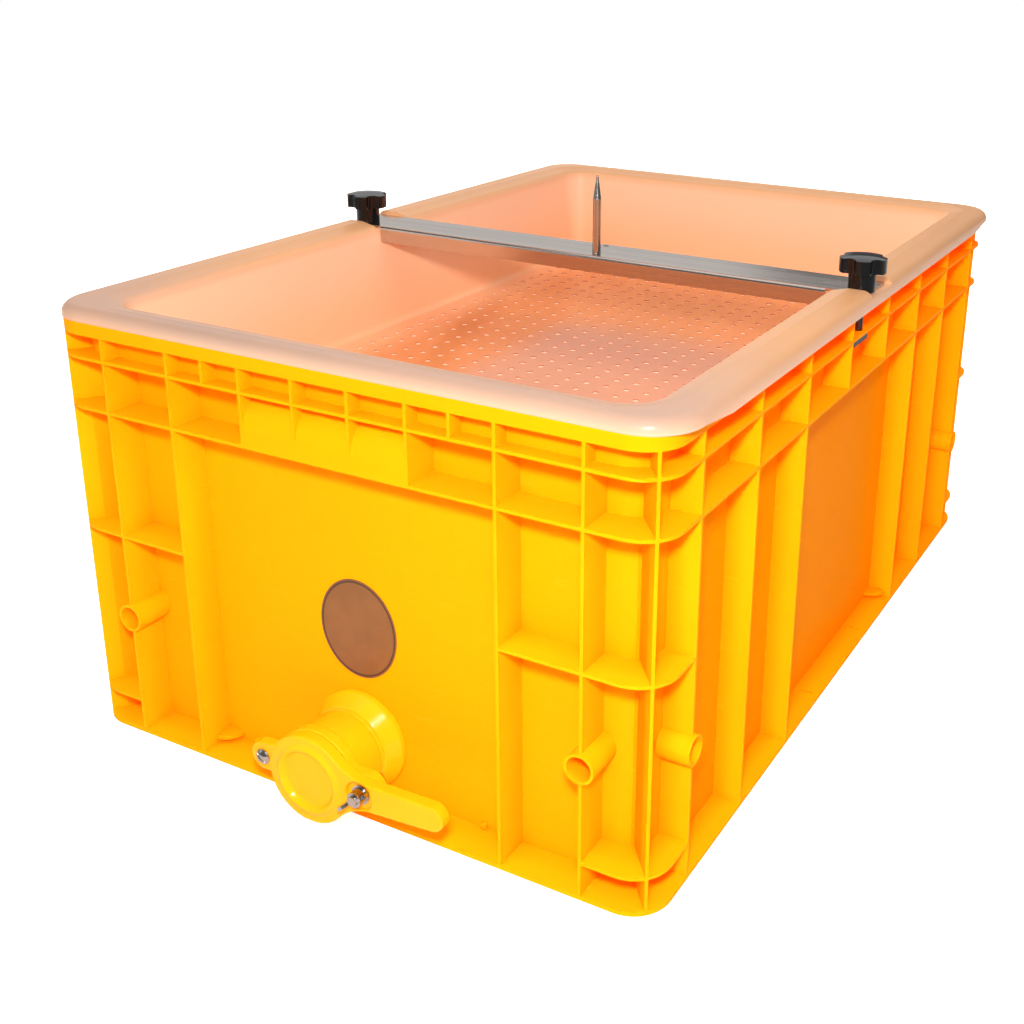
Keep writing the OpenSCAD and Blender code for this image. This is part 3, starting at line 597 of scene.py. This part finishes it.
@dataclass(frozen=True)
class GlossResin(Finish):
    """Hard pressed resin or rubber, nearly plain, with dust in cloudy patches and in its scuffs."""

    dust: Colour = (0.02, 0.018, 0.016)
    gloss: float = 0.35
    cloud_share: float = 0.15
    scuff_share: float = 0.25
    scuff_rough: float = 0.15

    def wire(self, sheet: NodeSheet, surface: bpy.types.Node) -> None:
        """Wires dust, scuffs and a faint orange-peel skin.

        Args:
            sheet: the material's nodes.
            surface: the Principled BSDF.
        """
        grain = self.group(sheet, Effect.grain(), Grain_Scale=500.0, Cloud_Scale=60.0)
        scuffs = self.group(sheet, Effect.scuffs(), Scale=90.0, Reach=0.64)
        mask = scuffs.outputs["Mask"]
        cloudy = sheet.maths("MULTIPLY", grain.outputs["Tone"], self.cloud_share)
        tone = sheet.blend(cloudy, self.colour, self.dust)
        tone = sheet.blend(sheet.maths("MULTIPLY", mask, self.scuff_share), tone, self.dust)
        rough = sheet.maths("ADD", sheet.sum_of((mask, self.scuff_rough)), self.roughness)
        sheet.feed(surface, Base_Color=tone, Roughness=rough)
        surface.inputs["Specular IOR Level"].default_value = self.gloss
        self.raise_skin(sheet, surface, grain.outputs["Height"])


@dataclass(frozen=True)
class BlankLabel(Finish):
    """A printed oval sticker: brown ground with a dark ring near its edge, otherwise blank."""

    ink: Colour = (0.05, 0.02, 0.012)
    half_w: float = LABEL_HIGH.x
    half_h: float = (LABEL_HIGH.z - LABEL_LOW.z) / 2
    middle_z: float = (LABEL_HIGH.z + LABEL_LOW.z) / 2
    ring_low: float = 0.925
    ring_high: float = 0.965
    ring_blur: float = 0.008
    ink_share: float = 0.9
    deep_share: float = 0.8

    def wire(self, sheet: NodeSheet, surface: bpy.types.Node) -> None:
        """Wires the ring, the paper's tone and its fibre.

        Args:
            sheet: the material's nodes.
            surface: the Principled BSDF.
        """
        grain = self.group(sheet, Effect.grain(), Grain_Scale=1500.0, Cloud_Scale=45.0)
        point = sheet.point()
        across = sheet.maths("DIVIDE", point["X"], self.half_w)
        lifted = sheet.maths("SUBTRACT", point["Z"], self.middle_z)
        up = sheet.maths("DIVIDE", lifted, self.half_h)
        square = sheet.maths("ADD", sheet.maths("POWER", across, 2.0), sheet.maths("POWER", up, 2.0))
        reach = sheet.maths("SQRT", square)
        inner = sheet.span(reach, self.ring_low, self.ring_low + self.ring_blur)
        outer = sheet.span(reach, self.ring_high, self.ring_high + self.ring_blur, 1.0, 0.0)
        ring = sheet.maths("MULTIPLY", inner, outer)
        tone = sheet.blend(grain.outputs["Tone"], self.shaded(self.deep_share), self.colour)
        tone = sheet.blend(sheet.maths("MULTIPLY", ring, self.ink_share), tone, self.ink)
        sheet.feed(surface, Base_Color=tone)
        self.raise_skin(sheet, surface, grain.outputs["Height"])


class Piece:
    """Ways to dress a CAD node that every sub-assembly uses."""

    bevel_segments: ClassVar[int] = 3
    bevel_angle: ClassVar[float] = math.radians(35.0)
    smooth_factor: ClassVar[float] = 0.5

    @staticmethod
    def dress(node: str, material: bpy.types.Material) -> bpy.types.Object:
        """Gives a CAD node its material.

        Args:
            node: name of the node.
            material: the finish.

        Returns:
            The node's object.
        """
        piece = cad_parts[node]
        piece.data.materials.clear()
        piece.data.materials.append(material)
        LOG.info("dressed %s with %s", node, material.name)
        return piece

    @staticmethod
    def join(piece: bpy.types.Object) -> None:
        """Joins the faces of a CAD node along their shared edges, with a modifier."""
        piece.modifiers.new("joined_faces", "WELD").merge_threshold = WELD_GAP

    @classmethod
    def soften(cls, piece: bpy.types.Object, kind: EdgeKind) -> None:
        """Rounds a CAD node's outer edges with modifiers.

        Args:
            piece: the node's object.
            kind: the size of the rounding.
        """
        cls.join(piece)
        round_off = piece.modifiers.new("rounded_edges", "BEVEL")
        round_off.width = kind.value * MM
        round_off.segments = cls.bevel_segments
        round_off.limit_method = "ANGLE"
        round_off.angle_limit = cls.bevel_angle
        round_off.use_clamp_overlap = True
        piece.modifiers.new("even_normals", "WEIGHTED_NORMAL")

    @classmethod
    def melt(cls, piece: bpy.types.Object, grain: float, passes: int) -> None:
        """Rounds every edge of a CAD node as a moulding's edges are, with modifiers.

        Args:
            piece: the node's object.
            grain: size of the even mesh that it is rounded on, in millimetres.
            passes: how often the even mesh is smoothed.
        """
        cls.join(piece)
        even = piece.modifiers.new("even_mesh", "REMESH")
        even.mode = "VOXEL"
        even.voxel_size = grain * MM
        even.use_smooth_shade = True
        smooth = piece.modifiers.new("rounded_edges", "SMOOTH")
        smooth.factor = cls.smooth_factor
        smooth.iterations = passes


@dataclass
class Crate:
    """The ribbed crate."""

    finish: Finish = MouldedPlastic(
        "crate_plastic", (0.98, 0.53, 0.003), roughness=0.38, bump=0.12
    )

    def build(self) -> None:
        """Dresses the crate."""
        Piece.soften(Piece.dress("tank", self.finish.make()), EdgeKind.MOULDED)


@dataclass
class DrainTray:
    """The milky tray and its perforated floor."""

    wall: Finish = MilkyPlastic("tray_plastic", (0.62, 0.3, 0.11), roughness=0.3, bump=0.08)
    floor: Finish = PiercedFloor(
        "tray_floor_plastic", (0.86, 0.275, 0.082), roughness=0.1, bump=0.05
    )

    def build(self) -> None:
        """Dresses the tray and its floor."""
        Piece.dress("drain_tray", self.wall.make())
        Piece.dress("drain_floor", self.floor.make())


@dataclass
class ClampBar:
    """The cross bar with its spike, knobs and clamps."""

    sides: tuple[str, str] = ("left", "right")
    sheet: Finish = BrushedSteel("bar_steel", (0.64, 0.56, 0.50), roughness=0.14, bump=0.06)
    pin: Finish = BrushedSteel(
        "spike_steel", (0.55, 0.52, 0.49), roughness=0.16, bump=0.05, run=LineRun.AROUND_Z
    )
    knob: Finish = GlossResin("knob_resin", (0.004, 0.004, 0.0045), roughness=0.1, bump=0.03)
    # painted shade: the studs and clamp plates are darkened, as they sit in shade under the crate's
    # rim and top shelf
    plated: Finish = BrushedSteel(
        "clamp_steel", (0.12, 0.10, 0.085), roughness=0.35, bump=0.1, run=LineRun.AROUND_Z
    )

    def build(self) -> None:
        """Dresses the bar, the spike and both clamps."""
        Piece.soften(Piece.dress("cross_bar", self.sheet.make()), EdgeKind.FOLDED)
        Piece.dress("spike", self.pin.make())
        knob, plated = self.knob.make(), self.plated.make()
        for side in self.sides:
            Piece.soften(Piece.dress(f"knob_{side}", knob), EdgeKind.PRESSED)
            for part in ("stud", "clamp_plate"):
                Piece.dress(f"{part}_{side}", plated)


@dataclass
class HoneyGate:
    """The gate, its lever and its fasteners."""

    grain: float = 0.6
    mouldings: tuple[tuple[str, int], ...] = (("gate_body", 6), ("gate_lever", 14))
    fasteners: tuple[str, ...] = (
        "pivot_bolt", "pivot_washer", "wing_nut", "stop_screw", "stop_nut",
    )
    # gate_plastic also gets the painted corner shade and the painted red glow
    body: Finish = MouldedPlastic(
        "gate_plastic", (0.98, 0.55, 0.004), roughness=0.12, bump=0.08,
        painted_recess_shade=(0.98, 0.54, 0.004), rubbed=(1.0, 0.68, 0.03), gloss=0.17,
        corner_reach=0.012,
    )
    seal: Finish = GlossResin("gasket_rubber", (0.02, 0.02, 0.02), roughness=0.6, bump=0.1)
    screw: Finish = BrushedSteel(
        "fastener_steel", (0.50, 0.48, 0.45), roughness=0.18, bump=0.08, run=LineRun.ALONG_Y
    )

    def build(self) -> None:
        """Dresses the gate."""
        body, screw = self.body.make(), self.screw.make()
        for node, passes in self.mouldings:
            Piece.melt(Piece.dress(node, body), self.grain, passes)
        Piece.dress("gate_lock_nut", body)
        Piece.dress("gate_gasket", self.seal.make())
        for node in self.fasteners:
            Piece.dress(node, screw)


@dataclass
class FrontLabel:
    """The blank oval sticker on the front panel."""

    finish: Finish = BlankLabel("label_print", (0.32, 0.12, 0.025), roughness=0.45, bump=0.06)

    def build(self) -> None:
        """Dresses the sticker."""
        Piece.dress("label", self.finish.make())


@dataclass(frozen=True)
class Lamp:
    """One area lamp, in metres and watts; a lamp that isn't mirrored shows in no reflection."""

    name: str
    place: Triple
    size: float
    power: float
    target: Triple = (0.0, 0.0, 0.15)
    mirrored: bool = True

    def hang(self) -> None:
        """Adds the lamp to the scene, aimed at its target."""
        data = bpy.data.lights.new(self.name, "AREA")
        data.size, data.energy = self.size, self.power
        lamp = bpy.data.objects.new(self.name, data)
        lamp.location = self.place
        lamp.visible_glossy = self.mirrored
        way = Vector(self.target) - Vector(self.place)
        lamp.rotation_euler = way.to_track_quat("-Z", "Y").to_euler()
        bpy.context.scene.collection.objects.link(lamp)
        LOG.info("hung %s", self.name)


@dataclass
class Studio:
    """Pale floor, soft light and the camera at the photograph's angle."""

    camera_at: Vector = field(default_factory=lambda: Vector((456.92, -840.87, 505.33)) * MM)
    azimuth: float = math.radians(28.29)
    elevation: float = math.radians(19.82)
    roll: float = math.radians(0.85)
    focal: float = 1331.23
    centre: tuple[float, float] = (600.0, 410.0)
    sensor: float = 36.0
    floor_half: float = 6.0
    floor_squares: int = 8
    floor_drop: float = 0.2 * MM
    floor_grey: Colour = (0.8, 0.8, 0.8)
    floor_glow: float = 0.86
    soft_light: float = 0.2
    mirror_least: float = 0.15
    behind_span: Span = (0.3, 0.6)
    high_span: Span = (0.26, 0.34)
    aside_span: Span = (-0.38, -0.31)
    aside_light: Span = (0.62, 0.06)
    lamps: tuple[Lamp, ...] = (
        Lamp("flash", (0.457, -0.86, 0.66), 0.09, 8.6, target=(0.0, -0.05, 0.16)),
        Lamp("top_lamp", (0.0, -0.2, 2.0), 2.0, 11.5, target=(0.0, 0.0, 0.2)),
        Lamp("left_lamp", (-1.6, -1.4, 1.0), 1.2, 3.5),
        Lamp("side_lamp", (-2.1, 0.4, 0.4), 1.2, 34.0, mirrored=False),
        Lamp("back_lamp", (-0.5, 2.1, 0.4), 1.2, 38.0, mirrored=False),
    )

    def build(self) -> None:
        """Builds floor, light and camera."""
        self.lay_floor()
        for lamp in self.lamps:
            lamp.hang()
        self.set_world()
        self.aim()
        bpy.context.scene.view_settings.view_transform = "Standard"

    @staticmethod
    def seen(sheet: NodeSheet, paths: bpy.types.Node) -> bpy.types.NodeSocket:
        """Tells rays that come straight or clear through from the camera.

        Args:
            sheet: the nodes of a material or the world.
            paths: its Light Path node.

        Returns:
            One for such rays, otherwise zero.
        """
        return sheet.maths(
            "MAXIMUM", paths.outputs["Is Camera Ray"], paths.outputs["Is Transmission Ray"]
        )

    def lay_floor(self) -> None:
        """Lays a pale floor that keeps the object's shadow."""
        mesh = bpy.data.meshes.new("floor")
        shape = bmesh.new()
        squares = self.floor_squares
        bmesh.ops.create_grid(shape, x_segments=squares, y_segments=squares, size=self.floor_half)
        shape.to_mesh(mesh)
        shape.free()
        floor = bpy.data.objects.new("floor", mesh)
        floor.location = (0.0, 0.0, -self.floor_drop)
        bpy.context.scene.collection.objects.link(floor)
        material = bpy.data.materials.new("floor_paper")
        material.use_nodes = True
        material.node_tree.nodes.clear()
        sheet = NodeSheet(material.node_tree)
        seen = self.seen(sheet, sheet.add("LightPath"))
        paper = sheet.add("BsdfDiffuse", {"Color": self.floor_grey})
        white = sheet.add("Emission", {"Color": WHITE, "Strength": self.floor_glow})
        both = sheet.add("AddShader", {0: paper.outputs[0], 1: white.outputs[0]})
        mixed = sheet.add("MixShader", {0: seen, 1: paper.outputs[0], 2: both.outputs[0]})
        sheet.feed(sheet.add("OutputMaterial"), Surface=mixed.outputs[0])
        mesh.materials.append(material)
        LOG.info("laid the floor")

    def set_world(self) -> None:
        """Makes the surroundings white to the eye and soft as light."""
        world = bpy.data.worlds.new("surroundings")
        world.use_nodes = True
        world.node_tree.nodes.clear()
        sheet = NodeSheet(world.node_tree)
        paths = sheet.add("LightPath")
        way = sheet.add("SeparateXYZ", {0: sheet.add("TexCoord").outputs["Generated"]})
        behind = sheet.span(way.outputs["Y"], *self.behind_span)
        high = sheet.span(way.outputs["Z"], *self.high_span)
        aside = sheet.span(way.outputs["X"], *self.aside_span, *self.aside_light)
        bright = sheet.maths("MULTIPLY", sheet.maths("MAXIMUM", high, aside), behind)
        shown = sheet.maths("MAXIMUM", bright, self.mirror_least)
        glossy = paths.outputs["Is Glossy Ray"]
        strength = sheet.add("Mix", {0: glossy, 2: self.soft_light, 3: shown}).outputs[0]
        strength = sheet.maths("MAXIMUM", self.seen(sheet, paths), strength)
        ground = sheet.add("Background", {"Color": WHITE, "Strength": strength})
        sheet.feed(sheet.add("OutputWorld"), Surface=ground.outputs[0])
        bpy.context.scene.world = world

    def aim(self) -> None:
        """Sets the camera from the fitted angles, place and focal length."""
        a, e, r = self.azimuth, self.elevation, self.roll
        back = Vector((math.sin(a) * math.cos(e), -math.cos(a) * math.cos(e), math.sin(e)))
        right = Vector((0.0, 0.0, 1.0)).cross(back).normalized()
        up = back.cross(right)
        level_right, level_up = right.copy(), up.copy()
        right = math.cos(r) * level_right + math.sin(r) * level_up
        up = -math.sin(r) * level_right + math.cos(r) * level_up
        data = bpy.data.cameras.new("camera")
        data.sensor_width = self.sensor
        data.lens = self.focal * self.sensor / PIXELS
        data.shift_x = (PIXELS / 2 - self.centre[0]) / PIXELS
        data.shift_y = (self.centre[1] - PIXELS / 2) / PIXELS
        camera = bpy.data.objects.new("camera", data)
        turn = Matrix((right, up, back)).transposed().to_4x4()
        camera.matrix_world = Matrix.Translation(self.camera_at) @ turn
        bpy.context.scene.collection.objects.link(camera)
        bpy.context.scene.camera = camera
        LOG.info("set the camera")


def main() -> None:
    """Builds every sub-assembly in order."""
    logging.basicConfig(level=logging.INFO)
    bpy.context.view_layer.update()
    for assembly in (Crate(), DrainTray(), ClampBar(), HoneyGate(), FrontLabel(), Studio()):
        assembly.build()
        LOG.info("built %s", type(assembly).__name__)


if __name__ == "__main__":
    main()
